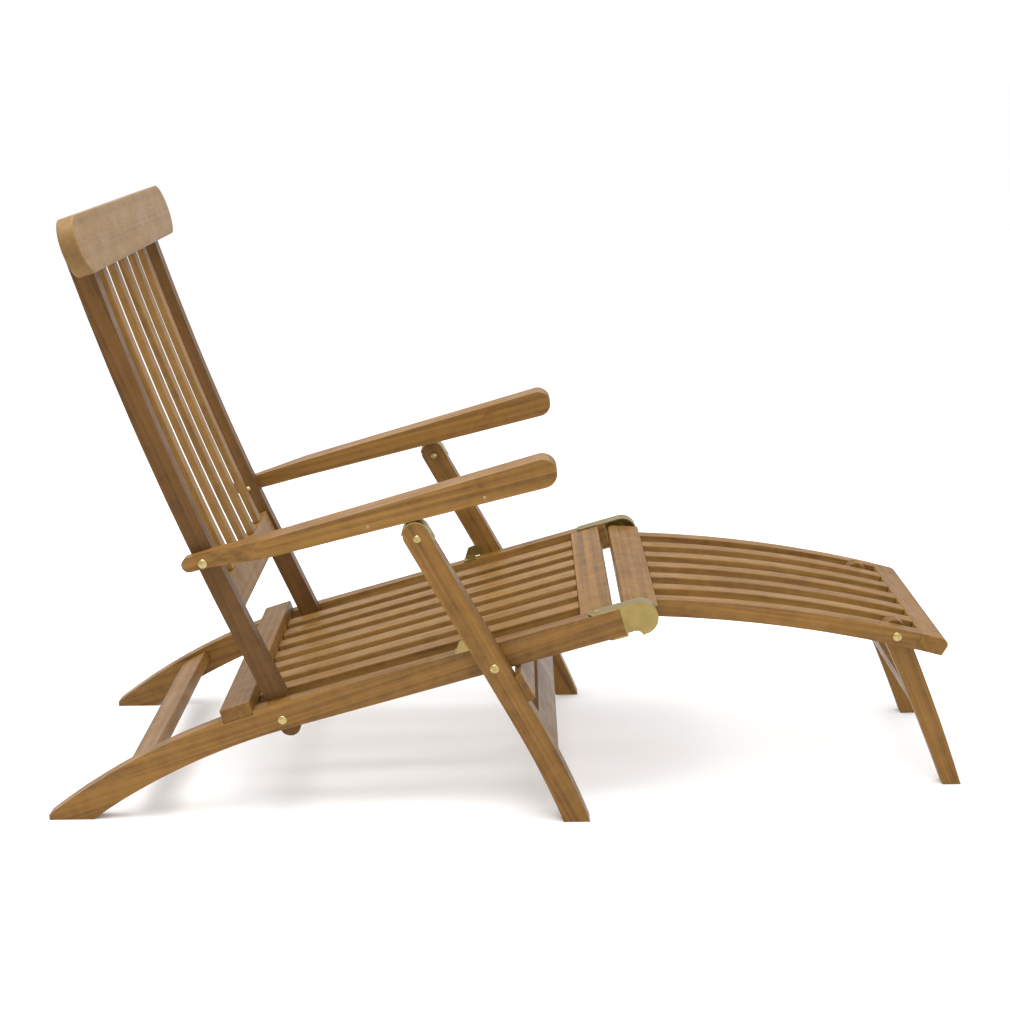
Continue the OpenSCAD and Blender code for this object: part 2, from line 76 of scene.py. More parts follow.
ahead = Vector((math.sin(YAW) * math.cos(PITCH), math.cos(YAW) * math.cos(PITCH), -math.sin(PITCH)))
level_right = Vector((math.cos(YAW), -math.sin(YAW), 0.0))
level_up = level_right.cross(ahead)
right = math.cos(ROLL) * level_right + math.sin(ROLL) * level_up
up = -math.sin(ROLL) * level_right + math.cos(ROLL) * level_up

lens = bpy.data.cameras.new("camera")
lens.sensor_width = SENSOR
lens.lens = SENSOR * FOCAL_SHARE
camera = bpy.data.objects.new("camera", lens)
bpy.context.scene.collection.objects.link(camera)
camera.matrix_world = Matrix.Translation(CAMERA_PLACE) @ Matrix(
    (right, up, -ahead)
).transposed().to_4x4()
bpy.context.scene.camera = camera
print("camera: lens", round(lens.lens, 1), "mm, at", tuple(round(c, 2) for c in camera.location))

# %% [markdown]
# ## Floor and light
#
# A plain pale floor runs far out, under a white sky, so that nothing but the chair is in the
# picture. Two large soft lamps stand over the chair: wide lamps give wide, soft shadows.

# %% Floor, sky and lamps
def principled(material):
    """The one Principled shader of a new material."""
    return material.node_tree.nodes["Principled BSDF"]


def new_material(name):
    material = bpy.data.materials.new(name)
    material.use_nodes = True
    return material


def sky(strength):
    world = bpy.data.worlds.new("soft white sky")
    world.use_nodes = True
    world.node_tree.nodes["Background"].inputs["Color"].default_value = (1.0, 1.0, 1.0, 1.0)
    world.node_tree.nodes["Background"].inputs["Strength"].default_value = strength
    bpy.context.scene.world = world


def lamp(name, place, aim, width, height, watts, tint=(1.0, 1.0, 1.0)):
    """A rectangular soft lamp at place that looks at aim."""
    light = bpy.data.lights.new(name, "AREA")
    light.shape = "RECTANGLE"
    light.size, light.size_y = width, height
    light.energy = watts
    light.color = tint
    item = bpy.data.objects.new(name, light)
    bpy.context.scene.collection.objects.link(item)
    item.location = place
    item.rotation_euler = (Vector(aim) - Vector(place)).to_track_quat("-Z", "Y").to_euler()
    return item


FLOOR_HALF = 60.0
FLOOR_GREY = 0.92
FLOOR_ROUGHNESS = 0.9
SKY_STRENGTH = 1.08
bpy.ops.mesh.primitive_plane_add(size=2 * FLOOR_HALF, location=(0, 0, 0))
floor = bpy.context.object
floor.name = "floor"
floor_paint = new_material("pale floor")
principled(floor_paint).inputs["Base Color"].default_value = (FLOOR_GREY, FLOOR_GREY, FLOOR_GREY, 1.0)
principled(floor_paint).inputs["Roughness"].default_value = FLOOR_ROUGHNESS
floor.data.materials.append(floor_paint)

sky(SKY_STRENGTH)
lamp("top lamp", (-0.6, -0.5, 3.4), (0.0, 0.0, 0.3), 3.0, 2.4, 130)
lamp("front lamp", (1.6, -3.2, 1.9), (0.0, 0.0, 0.4), 2.2, 1.8, 12)
bpy.context.scene.view_settings.view_transform = "Standard"

# %% [markdown]
# ## Node groups that the materials share
#
# Teak is a solid pattern: growth rings round the tree's pith, stretched along the trunk. A
# board cut from it shows long lines on its faces and arcs at its ends without any more work,
# as long as the pattern is laid in the board's own directions. Each piece carries them as an
# attribute named grain: metres along the board, across it and through it, with a shift of its
# own, so that no two boards are cut from the same place. Small helpers wire the nodes.

# %% Helpers for node trees
def shader_group(name, takes, gives):
    """A shader node group with its sockets, and its input and output nodes."""
    tree = bpy.data.node_groups.new(name, "ShaderNodeTree")
    for label, kind, value in takes:
        socket = tree.interface.new_socket(label, in_out="INPUT", socket_type="NodeSocket" + kind)
        if value is not None:
            socket.default_value = value
    for label, kind in gives:
        tree.interface.new_socket(label, in_out="OUTPUT", socket_type="NodeSocket" + kind)
    return tree, tree.nodes.new("NodeGroupInput"), tree.nodes.new("NodeGroupOutput")


def put(tree, kind, **inputs):
    """A new node. A value sets its input, and a socket is linked to it."""
    node = tree.nodes.new(kind)
    for label, value in inputs.items():
        feed(tree, node, label.replace("_", " "), value)
    return node


def feed(tree, node, label, value):
    socket = node.inputs[int(label)] if label.isdigit() else node.inputs[label]
    if isinstance(value, bpy.types.NodeSocket):
        tree.links.new(value, socket)
    else:
        socket.default_value = value


def sums(tree, operation, a, b=None, clamp=False):
    """A Math node on one or two values."""
    node = tree.nodes.new("ShaderNodeMath")
    node.operation = operation
    node.use_clamp = clamp
    feed(tree, node, "0", a)
    if b is not None:
        feed(tree, node, "1", b)
    return node.outputs[0]


def ramp(tree, value, low, high, to_low=0.0, to_high=1.0):
    """value taken from low..high to to_low..to_high, and kept there."""
    node = put(tree, "ShaderNodeMapRange")
    labels = ("Value", "From Min", "From Max", "To Min", "To Max")
    for label, v in zip(labels, (value, low, high, to_low, to_high)):
        feed(tree, node, label, v)
    return node.outputs["Result"]


def mix_colours(tree, share, a, b, how="MIX"):
    node = tree.nodes.new("ShaderNodeMix")
    node.data_type = "RGBA"
    node.blend_type = how
    feed(tree, node, "0", share)
    feed(tree, node, "6", a)
    feed(tree, node, "7", b)
    return node.outputs[2]


def stretched(tree, vector, scale):
    """vector scaled by three numbers."""
    node = tree.nodes.new("ShaderNodeVectorMath")
    node.operation = "MULTIPLY"
    feed(tree, node, "0", vector)
    node.inputs[1].default_value = scale
    return node.outputs[0]


def noise(tree, vector, scale, detail=3.0, rough=0.55):
    node = tree.nodes.new("ShaderNodeTexNoise")
    for label, value in zip(("Vector", "Scale", "Detail", "Roughness"), (vector, scale, detail, rough)):
        feed(tree, node, label, value)
    return node.outputs[0]


# %% [markdown]
# The grain group gives four patterns: the rings, wide dark streaks where the tree took up
# minerals, fine pores that are short dashes along the board, and a slow drift of tone.

# %% Teak grain
def teak_grain_group():
    tree, take, give = shader_group(
        "teak grain",
        [("Grain", "Vector", None), ("Ring Spacing", "Float", 0.006), ("Waviness", "Float", 0.004)],
        [("Rings", "Float"), ("Streaks", "Float"), ("Pores", "Float"), ("Drift", "Float")],
    )
    grain = take.outputs["Grain"]
    split = put(tree, "ShaderNodeSeparateXYZ", Vector=grain)
    sway = noise(tree, stretched(tree, grain, (1.6, 9.0, 9.0)), 1.0, 2.0)
    sway = sums(tree, "MULTIPLY", sums(tree, "SUBTRACT", sway, 0.5), take.outputs["Waviness"])
    across = sums(tree, "MULTIPLY", split.outputs["Y"], split.outputs["Y"])
    through = sums(tree, "MULTIPLY", split.outputs["Z"], split.outputs["Z"])
    radius = sums(tree, "SQRT", sums(tree, "ADD", across, through))
    radius = sums(tree, "ADD", radius, sums(tree, "MULTIPLY", sway, 4.0))
    turns = sums(tree, "DIVIDE", radius, take.outputs["Ring Spacing"])
    saw = sums(tree, "FRACT", turns)
    late_wood = sums(tree, "POWER", saw, 2.2)
    width_drift = noise(tree, stretched(tree, grain, (0.8, 60.0, 60.0)), 1.0, 2.0)
    rings = sums(tree, "MULTIPLY", late_wood, ramp(tree, width_drift, 0.3, 0.65))
    tree.links.new(rings, give.inputs["Rings"])
    streaks = noise(tree, stretched(tree, grain, (1.3, 110.0, 110.0)), 1.0, 4.0, 0.6)
    tree.links.new(ramp(tree, streaks, 0.42, 0.64), give.inputs["Streaks"])
    pores = noise(tree, stretched(tree, grain, (45.0, 1300.0, 1300.0)), 1.0, 2.0)
    tree.links.new(ramp(tree, pores, 0.56, 0.72), give.inputs["Pores"])
    drift = noise(tree, stretched(tree, grain, (2.2, 7.0, 7.0)), 1.0, 2.0)
    tree.links.new(drift, give.inputs["Drift"])
    return tree


TEAK_GRAIN = teak_grain_group()
print("group:", TEAK_GRAIN.name)

# %% [markdown]
# Two more groups are shared. Edge wear reads the attribute worn, which is 1 on the rounded
# strip along each edge, and breaks it up, because an eased edge is never equally bright.
# Handling marks gives small uneven spots for the gloss of wood and brass alike.

# %% Edge wear and handling marks
def edge_wear_group():
    tree, take, give = shader_group(
        "edge wear",
        [("Worn", "Float", 0.0), ("Place", "Vector", None), ("Break-up", "Float", 0.5)],
        [("Mask", "Float")],
    )
    patches = noise(tree, take.outputs["Place"], 38.0, 3.0)
    broken = ramp(tree, patches, 0.32, 0.62, sums(tree, "SUBTRACT", 1.0, take.outputs["Break-up"]), 1.0)
    tree.links.new(sums(tree, "MULTIPLY", broken, take.outputs["Worn"]), give.inputs["Mask"])
    return tree


def handling_group():
    tree, take, give = shader_group(
        "handling marks",
        [("Place", "Vector", None), ("Size", "Float", 1.0)],
        [("Marks", "Float"), ("Specks", "Float")],
    )
    scale = sums(tree, "DIVIDE", 18.0, take.outputs["Size"])
    marks = noise(tree, take.outputs["Place"], scale, 4.0, 0.6)
    specks = noise(tree, take.outputs["Place"], sums(tree, "MULTIPLY", scale, 22.0), 2.0, 0.5)
    tree.links.new(marks, give.inputs["Marks"])
    tree.links.new(ramp(tree, specks, 0.6, 0.75), give.inputs["Specks"])
    return tree


EDGE_WEAR = edge_wear_group()
HANDLING = handling_group()
print("groups:", [g.name for g in bpy.data.node_groups if g.bl_idname == "ShaderNodeTree"])

# %% [markdown]
# ## Oiled teak
#
# New, oiled teak is golden brown. Colour comes in layers: a tone for each board, its slow
# drift, the rings and streaks over it, pores darker still, end grain dark because it drinks
# the oil, and edges a little lighter. The same patterns drive the gloss and a fine bump.

# %% Teak material
def attribute(tree, name):
    node = tree.nodes.new("ShaderNodeAttribute")
    node.attribute_name = name
    return node


def use_group(tree, group, **inputs):
    node = tree.nodes.new("ShaderNodeGroup")
    node.node_tree = group
    for label, value in inputs.items():
        feed(tree, node, label.replace("_", " "), value)
    return node


def teak(name, gold, brown, dark, ring_share=0.75, streak_share=0.8, rough=0.42, knot=None):
    material = new_material(name)
    tree = material.node_tree
    shader = principled(material)
    grain = attribute(tree, "grain").outputs["Vector"]
    cut = use_group(tree, TEAK_GRAIN, Grain=grain)
    tone = attribute(tree, "tone").outputs["Fac"]
    drift = sums(tree, "ADD", sums(tree, "MULTIPLY", cut.outputs["Drift"], 0.7),
                 sums(tree, "MULTIPLY", tone, 0.45))
    base = mix_colours(tree, ramp(tree, drift, 0.25, 0.85), gold, brown)
    lines = sums(tree, "MULTIPLY", cut.outputs["Rings"], ring_share)
    base = mix_colours(tree, lines, base, brown)
    base = mix_colours(tree, sums(tree, "MULTIPLY", cut.outputs["Streaks"], streak_share), base, dark)
    base = mix_colours(tree, sums(tree, "MULTIPLY", cut.outputs["Pores"], 0.35), base, dark)
    if knot:
        seen = put(tree, "ShaderNodeSeparateXYZ", Vector=put(tree, "ShaderNodeTexCoord").outputs["Object"])
        dx = sums(tree, "SUBTRACT", seen.outputs["X"], knot[0])
        dz = sums(tree, "SUBTRACT", seen.outputs["Z"], knot[1])
        squares = sums(tree, "ADD", sums(tree, "MULTIPLY", dx, dx), sums(tree, "MULTIPLY", dz, dz))
        far = sums(tree, "SQRT", squares)
        far = sums(tree, "ADD", far, sums(tree, "MULTIPLY", noise(tree, grain, 90.0), 0.008))
        base = mix_colours(tree, ramp(tree, far, knot[2] * 0.6, knot[2] * 1.8, 0.7, 0.0), base, brown)
        base = mix_colours(tree, ramp(tree, far, knot[2] * 0.3, knot[2] * 0.75, 0.8, 0.0), base, dark)
    end = attribute(tree, "end_grain").outputs["Fac"]
    base = mix_colours(tree, sums(tree, "MULTIPLY", end, 0.45), base, dark)
    wear = use_group(tree, EDGE_WEAR, Worn=attribute(tree, "worn").outputs["Fac"], Place=grain)
    pale = tuple(min(1.0, c * 1.35) for c in gold[:3]) + (1.0,)
    base = mix_colours(tree, sums(tree, "MULTIPLY", wear.outputs["Mask"], 0.35), base, pale)
    tree.links.new(base, shader.inputs["Base Color"])
    hand = use_group(tree, HANDLING, Place=grain)
    gloss = sums(tree, "ADD", ramp(tree, hand.outputs["Marks"], 0.3, 0.7, rough - 0.07, rough + 0.08),
                 sums(tree, "MULTIPLY", end, 0.2))
    gloss = sums(tree, "ADD", gloss, sums(tree, "MULTIPLY", cut.outputs["Pores"], 0.15))
    tree.links.new(gloss, shader.inputs["Roughness"])
    height = sums(tree, "ADD", sums(tree, "MULTIPLY", cut.outputs["Pores"], -0.6),
                  sums(tree, "MULTIPLY", cut.outputs["Rings"], -0.25))
    bump = put(tree, "ShaderNodeBump", Height=height, Strength=0.25, Distance=0.0004)
    tree.links.new(bump.outputs["Normal"], shader.inputs["Normal"])
    shader.inputs["Specular IOR Level"].default_value = 0.2
    return material


GOLD = (0.235, 0.118, 0.025, 1.0)
BROWN = (0.105, 0.044, 0.007, 1.0)
DARK = (0.032, 0.012, 0.003, 1.0)
FRAME_TEAK = teak("frame teak", GOLD, BROWN, DARK)
SLAT_TEAK = teak("slat teak", (0.255, 0.135, 0.033, 1.0), (0.130, 0.058, 0.011, 1.0), DARK, 0.7, 0.7)
HEAD_TEAK = teak("headrest teak", (0.215, 0.124, 0.042, 1.0), (0.160, 0.086, 0.026, 1.0), DARK, 0.55, 0.35)
# The uprights get a teak of their own, darker than the frame's.
UPRIGHT_TEAK = teak("upright teak", (0.130, 0.060, 0.012, 1.0), (0.065, 0.026, 0.004, 1.0), DARK)
ARM_TEAK = teak("arm teak", GOLD, BROWN, DARK, knot=(-0.037, 0.570, 0.013))
PLUG_WOOD = teak("plug wood", (0.36, 0.24, 0.12, 1.0), (0.28, 0.17, 0.07, 1.0), BROWN, 0.3, 0.2)
print("woods:", FRAME_TEAK.name, SLAT_TEAK.name, HEAD_TEAK.name, PLUG_WOOD.name)

# %% [markdown]
# ## Brass
#
# The fittings are pressed from sheet and left to dull a little: warm yellow, not a mirror,
# with brown spots of tarnish and edges that stay bright because hands and wood rub them.

# %% Brass material
def brass(name, bright, dull, rough, tarnish=0.35):
    material = new_material(name)
    tree = material.node_tree
    shader = principled(material)
    place = put(tree, "ShaderNodeTexCoord").outputs["Object"]
    hand = use_group(tree, HANDLING, Place=place, Size=0.6)
    spots = sums(tree, "MULTIPLY", ramp(tree, hand.outputs["Marks"], 0.45, 0.75), tarnish)
    base = mix_colours(tree, spots, bright, dull)
    base = mix_colours(tree, sums(tree, "MULTIPLY", hand.outputs["Specks"], 0.25 * tarnish), base, dull)
    wear = use_group(tree, EDGE_WEAR, Worn=attribute(tree, "worn").outputs["Fac"], Place=place)
    shine = tuple(min(1.0, c * 1.12) for c in bright[:3]) + (1.0,)
    base = mix_colours(tree, sums(tree, "MULTIPLY", wear.outputs["Mask"], 0.6), base, shine)
    tree.links.new(base, shader.inputs["Base Color"])
    gloss = ramp(tree, hand.outputs["Marks"], 0.3, 0.7, rough - 0.06, rough + 0.1)
    tree.links.new(gloss, shader.inputs["Roughness"])
    bump = put(tree, "ShaderNodeBump", Height=hand.outputs["Marks"], Strength=0.15, Distance=0.0006)
    tree.links.new(bump.outputs["Normal"], shader.inputs["Normal"])
    shader.inputs["Metallic"].default_value = 1.0
    return material


BRASS = brass("satin brass", (0.26, 0.195, 0.070, 1.0), (0.080, 0.050, 0.015, 1.0), 0.36, 0.6)
BOLT_BRASS = brass("bolt brass", (0.42, 0.33, 0.14, 1.0), (0.16, 0.10, 0.035, 1.0), 0.28, 0.25)
print("metals:", BRASS.name, BOLT_BRASS.name)

# %% [markdown]
# ## Boards with eased edges
#
# A joiner takes the sharp corner off every board. The solid from the frame is loose triangles,
# so its copy is merged first, flat faces are joined up again, and the sharp edges are then
# bevelled. The new strips are marked worn, and faces that look along the board are marked as
# end grain. The attribute grain is laid along the piece's longest direction.

# %% Copy and ease one solid
MERGE = 2e-5
SEED = 41
EASE = 0.0022
HEAVY_EASE = 0.003
ARM_EASE = 0.004
PLATE_EASE = 0.0004
FLAT_WEIGHT = 80
END_GRAIN_FROM = 0.6
shifts = random.Random(SEED)


def eased_copy(node, ease, segments=3, flat_angle=0.6, sharp_angle=28):
    """A bmesh of the solid with flat faces joined and every sharp edge rounded by ease."""
    bm = bmesh.new()
    bm.from_mesh(NODES[node].data)
    bmesh.ops.remove_doubles(bm, verts=bm.verts, dist=MERGE)
    bmesh.ops.dissolve_limit(bm, angle_limit=math.radians(flat_angle), verts=bm.verts, edges=bm.edges)
    worn = bm.faces.layers.float.new("worn")
    limit = math.radians(sharp_angle)
    sharp = [e for e in bm.edges if len(e.link_faces) == 2 and e.calc_face_angle(0.0) > limit]
    before = set(bm.faces)
    bmesh.ops.bevel(bm, geom=sharp, offset=ease, segments=segments, profile=0.5,
                    affect="EDGES", clamp_overlap=True)
    for face in bm.faces:
        face[worn] = 0.0 if face in before else 1.0
    for face in bm.faces:
        face.smooth = True
    return bm


def long_direction(bm):
    """The direction of the piece's longest extent in the side view, or straight across it."""
    low = Vector(min(v.co[i] for v in bm.verts) for i in range(3))
    high = Vector(max(v.co[i] for v in bm.verts) for i in range(3))
    size = high - low
    if size.y > max(size.x, size.z):
        return Vector((0, 1, 0)), (low + high) / 2
    middle = sum((v.co for v in bm.verts), Vector()) / len(bm.verts)
    xx = sum((v.co.x - middle.x) ** 2 for v in bm.verts)
    zz = sum((v.co.z - middle.z) ** 2 for v in bm.verts)
    xz = sum((v.co.x - middle.x) * (v.co.z - middle.z) for v in bm.verts)
    angle = 0.5 * math.atan2(2 * xz, xx - zz)
    return Vector((math.cos(angle), 0, math.sin(angle))), middle


def lay_grain(bm, tone=None):
    """Writes grain, end_grain and tone on a piece."""
    along, middle = long_direction(bm)
    across = Vector((0, 1, 0)) if abs(along.y) < 0.5 else Vector((1, 0, 0.2)).normalized()
    through = along.cross(across)
    shift = Vector((shifts.uniform(0, 9), shifts.choice((-1, 1)) * shifts.uniform(0.03, 0.09),
                    shifts.choice((-1, 1)) * shifts.uniform(0.02, 0.12)))
    tone = shifts.random() if tone is None else tone
    grain = bm.verts.layers.float_vector.new("grain")
    shade = bm.verts.layers.float.new("tone")
    for v in bm.verts:
        place = v.co - middle
        v[grain] = Vector((place.dot(along), place.dot(across), place.dot(through))) + shift
        v[shade] = tone
    end = bm.faces.layers.float.new("end_grain")
    bm.normal_update()
    for face in bm.faces:
        face[end] = max(0.0, (abs(face.normal.dot(along)) - END_GRAIN_FROM) / (1 - END_GRAIN_FROM))


def finished(bm, name, material):
    """The bmesh as a piece in the scene, with its flats kept flat beside the rounded edges."""
    mesh = bpy.data.meshes.new(name)
    bm.to_mesh(mesh)
    bm.free()
    piece = bpy.data.objects.new(name, mesh)
    bpy.context.scene.collection.objects.link(piece)
    mesh.materials.append(material)
    flats = piece.modifiers.new("flats", "WEIGHTED_NORMAL")
    flats.weight = FLAT_WEIGHT
    return piece


def board(node, material, ease=EASE, tone=None):
    """One wooden piece in place of its solid."""
    bm = eased_copy(node, ease)
    lay_grain(bm, tone)
    piece = finished(bm, node + "_teak", material)
    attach(piece, BODY_OF[node])
    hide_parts(node)
    return piece


# %% The frame's boards
SIDES = ("left", "right")
for side in SIDES:
    board("seat_rail_" + side, FRAME_TEAK, tone=0.35)
    board("back_upright_" + side, UPRIGHT_TEAK, tone=0.5)
    board("front_leg_" + side, FRAME_TEAK, HEAVY_EASE, tone=0.5)
    board("footrest_stile_" + side, FRAME_TEAK, tone=0.3)
    board("footrest_leg_" + side, FRAME_TEAK, HEAVY_EASE, tone=0.45)
for node in ("seat_front_crossbar", "seat_rear_crossbar", "rear_leg_stretcher", "back_lower_crossbar",
             "leg_stretcher", "seat_stop_bar", "footrest_nose_board",
             "footrest_leg_brace"):
    board(node, FRAME_TEAK)
board("footrest_crossbar", FRAME_TEAK, HEAVY_EASE)
board("headrest_board", HEAD_TEAK, HEAVY_EASE, tone=0.2)
for side in SIDES:
    board("arm_" + side, ARM_TEAK, ARM_EASE, tone=0.3)

# %% [markdown]
# ## Slats
#
# Seat, back and footrest each have a row of equal slats. One slat is eased and given its
# grain, and a Geometry Nodes tree copies it across the chair at an even pitch. Each copy gets
# its own shift of the grain and its own tone, both drawn with a fixed seed.

# %% Geometry Nodes: a row of slats
def geometry_tree(name, takes):
    tree = bpy.data.node_groups.new(name, "GeometryNodeTree")
    tree.is_modifier = True
    tree.interface.new_socket("Geometry", in_out="INPUT", socket_type="NodeSocketGeometry")
    for label, kind in takes:
        tree.interface.new_socket(label, in_out="INPUT", socket_type="NodeSocket" + kind)
    tree.interface.new_socket("Geometry", in_out="OUTPUT", socket_type="NodeSocketGeometry")
    return tree, tree.nodes.new("NodeGroupInput"), tree.nodes.new("NodeGroupOutput")


def store(tree, geometry, name, kind, domain, value):
    node = tree.nodes.new("GeometryNodeStoreNamedAttribute")
    node.data_type = kind
    node.domain = domain
    tree.links.new(geometry, node.inputs["Geometry"])
    node.inputs["Name"].default_value = name
    tree.links.new(value, node.inputs["Value"])
    return node.outputs["Geometry"]


def named(tree, name, kind):
    node = tree.nodes.new("GeometryNodeInputNamedAttribute")
    node.data_type = kind
    node.inputs["Name"].default_value = name
    return node.outputs["Attribute"]


def drawn(tree, kind, low, high, seed):
    """A random value for each copy."""
    node = tree.nodes.new("FunctionNodeRandomValue")
    node.data_type = kind
    first, second = ((0, 1) if kind == "FLOAT_VECTOR" else (2, 3))
    node.inputs[first].default_value = low
    node.inputs[second].default_value = high
    tree.links.new(seed, node.inputs["Seed"])
    return node.outputs[0 if kind == "FLOAT_VECTOR" else 1]


def slat_row_tree():
    tree, take, give = geometry_tree(
        "row of slats", [("Count", "Int"), ("Pitch", "Float"), ("Seed", "Int"), ("Wood", "Material")])
    half = sums(tree, "DIVIDE", sums(tree, "SUBTRACT", take.outputs["Count"], 1.0), -2.0)
    start = put(tree, "ShaderNodeCombineXYZ", Y=sums(tree, "MULTIPLY", half, take.outputs["Pitch"]))
    step = put(tree, "ShaderNodeCombineXYZ", Y=take.outputs["Pitch"])
    line = tree.nodes.new("GeometryNodeMeshLine")
    tree.links.new(take.outputs["Count"], line.inputs["Count"])
    tree.links.new(start.outputs[0], line.inputs["Start Location"])
    tree.links.new(step.outputs[0], line.inputs["Offset"])
    copies = tree.nodes.new("GeometryNodeInstanceOnPoints")
    tree.links.new(line.outputs["Mesh"], copies.inputs["Points"])
    tree.links.new(take.outputs["Geometry"], copies.inputs["Instance"])
    seed = take.outputs["Seed"]
    cut = drawn(tree, "FLOAT_VECTOR", (0.0, -0.03, -0.03), (9.0, 0.03, 0.03), seed)
    flow = store(tree, copies.outputs["Instances"], "cut", "FLOAT_VECTOR", "INSTANCE", cut)
    flow = store(tree, flow, "tone", "FLOAT", "INSTANCE", drawn(tree, "FLOAT", 0.1, 0.9, seed))
    loose = tree.nodes.new("GeometryNodeRealizeInstances")
    tree.links.new(flow, loose.inputs["Geometry"])
    moved = tree.nodes.new("ShaderNodeVectorMath")
    tree.links.new(named(tree, "grain", "FLOAT_VECTOR"), moved.inputs[0])
    tree.links.new(named(tree, "cut", "FLOAT_VECTOR"), moved.inputs[1])
    flow = store(tree, loose.outputs["Geometry"], "grain", "FLOAT_VECTOR", "POINT", moved.outputs[0])
    wood = tree.nodes.new("GeometryNodeSetMaterial")
    tree.links.new(flow, wood.inputs["Geometry"])
    tree.links.new(take.outputs["Wood"], wood.inputs["Material"])
    tree.links.new(wood.outputs["Geometry"], give.inputs["Geometry"])
    return tree


SLAT_ROW = slat_row_tree()
print("tree:", SLAT_ROW.name)

# %% Run a tree and keep its result
def set_inputs(modifier, values):
    """Gives a Geometry Nodes modifier its inputs, by their identifiers."""
    for item in modifier.node_group.interface.items_tree:
        if item.item_type == "SOCKET" and item.in_out == "INPUT" and item.name in values:
            modifier[item.identifier] = values[item.name]


def run_tree(piece, tree, values):
    """The tree's result as the piece's own plain mesh."""
    modifier = piece.modifiers.new(tree.name, "NODES")
    modifier.node_group = tree
    set_inputs(modifier, values)
    seen = bpy.context.evaluated_depsgraph_get()
    mesh = bpy.data.meshes.new_from_object(
        piece.evaluated_get(seen), preserve_all_data_layers=True, depsgraph=seen)
    piece.modifiers.clear()
    old = piece.data
    piece.data = mesh
    bpy.data.meshes.remove(old)
    return piece


def slat_row(name, node_name, count, material, seed, body):
    """One mesh for a row of slats, in place of their solids."""
    nodes = [node_name + "_" + str(i + 1) for i in range(count)]
    centres = [sum(c[1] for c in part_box(n)) / 2 for n in nodes]
    pitch = (max(centres) - min(centres)) / (count - 1)
    middle = nodes[count // 2]
    bm = eased_copy(middle, EASE)
    for v in bm.verts:
        v.co.y -= centres[count // 2]
    lay_grain(bm)
    mesh = bpy.data.meshes.new(name)
    bm.to_mesh(mesh)
    bm.free()
    piece = bpy.data.objects.new(name, mesh)
    bpy.context.scene.collection.objects.link(piece)
    run_tree(piece, SLAT_ROW, {"Count": count, "Pitch": pitch, "Seed": seed, "Wood": material})
    flats = piece.modifiers.new("flats", "WEIGHTED_NORMAL")
    flats.weight = FLAT_WEIGHT
    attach(piece, body)
    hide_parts(*nodes)
    print(name + ":", count, "slats at", round(pitch * 1000, 1), "mm")
    return piece


slat_row("seat_slats", "seat_slat", 7, SLAT_TEAK, 3, "seat_frame")
slat_row("back_slats", "back_slat", 5, SLAT_TEAK, 8, "back")
slat_row("footrest_slats", "footrest_slat", 5, SLAT_TEAK, 5, "footrest")

# %% [markdown]
# ## Brass plates
#
# The knee cups, the caps over the legs, the stop brackets and the racks are folded sheet. Their
# solids have the right shape already, so they only need a small round on each edge.

# %% Pressed brass
def brass_plate(node, ease=PLATE_EASE, material=BRASS):
    bm = eased_copy(node, ease, 2, flat_angle=0.3, sharp_angle=32)
    piece = finished(bm, node + "_brass", material)
    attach(piece, BODY_OF[node])
    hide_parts(node)
    return piece


for side in SIDES:
    for part in ("knee_cup_", "leg_cap_", "leg_stop_bracket_", "arm_rack_"):
        brass_plate(part + side)

# %% [markdown]
# ## Bolts and screws
#
# A pivot bolt has a domed head with one slot, and a domed nut inside. The screws of the straps
# and caps have a cross slot. Each kind of fastener is modelled once, along Z, and a second
# tree sets copies on points that carry the way they face and how far they are turned.

# %% One head of each kind
def lathe(name, profile, steps=32):
    """A closed solid turned from (radius, height) points round Z, first and last on the axis."""
    bm = bmesh.new()
    rings = []
    for radius, height in profile:
        if radius < 1e-7:
            rings.append([bm.verts.new((0, 0, height))])
        else:
            rings.append([bm.verts.new((radius * math.cos(2 * math.pi * k / steps),
                                        radius * math.sin(2 * math.pi * k / steps), height))
                          for k in range(steps)])
    for lower, upper in zip(rings, rings[1:]):
        for k in range(steps):
            n = (k + 1) % steps
            if len(lower) == 1:
                bm.faces.new((lower[0], upper[k], upper[n]))
            elif len(upper) == 1:
                bm.faces.new((lower[k], upper[0], lower[n]))
            else:
                bm.faces.new((lower[k], upper[k], upper[n], lower[n]))
    bmesh.ops.recalc_face_normals(bm, faces=bm.faces)
    mesh = bpy.data.meshes.new(name)
    bm.to_mesh(mesh)
    bm.free()
    item = bpy.data.objects.new(name, mesh)
    bpy.context.scene.collection.objects.link(item)
    return item


def dome_profile(radius, height, foot, rings=6):
    """From the top of a dome down to its rim, and on down to a foot below it."""
    ball = (radius ** 2 + height ** 2) / (2 * height)
    widest = math.asin(min(1.0, radius / ball))
    points = [(ball * math.sin(widest * i / rings), height - ball + ball * math.cos(widest * i / rings))
              for i in range(rings + 1)]
    return points[:-1] + [(radius, 0.0003), (radius - 0.0003, 0.0), (0.0, foot)]


def cut_slots(item, slots, depth, top):
    """Cuts straight slots (length, width) into the top of an item."""
    cutters = []
    for length, width, turn in slots:
        bpy.ops.mesh.primitive_cube_add(size=1.0)
        cutter = bpy.context.object
        cutter.scale = (length, width, depth * 2)
        cutter.rotation_euler = (0, 0, turn)
        cutter.location = (0, 0, top)
        cutters.append(cutter)
        modifier = item.modifiers.new("slot", "BOOLEAN")
        modifier.operation = "DIFFERENCE"
        modifier.solver = "EXACT"
        modifier.object = cutter
    bpy.context.view_layer.update()
    seen = bpy.context.evaluated_depsgraph_get()
    mesh = bpy.data.meshes.new_from_object(item.evaluated_get(seen), depsgraph=seen)
    item.modifiers.clear()
    item.data = mesh
    for cutter in cutters:
        bpy.data.objects.remove(cutter)
    return item


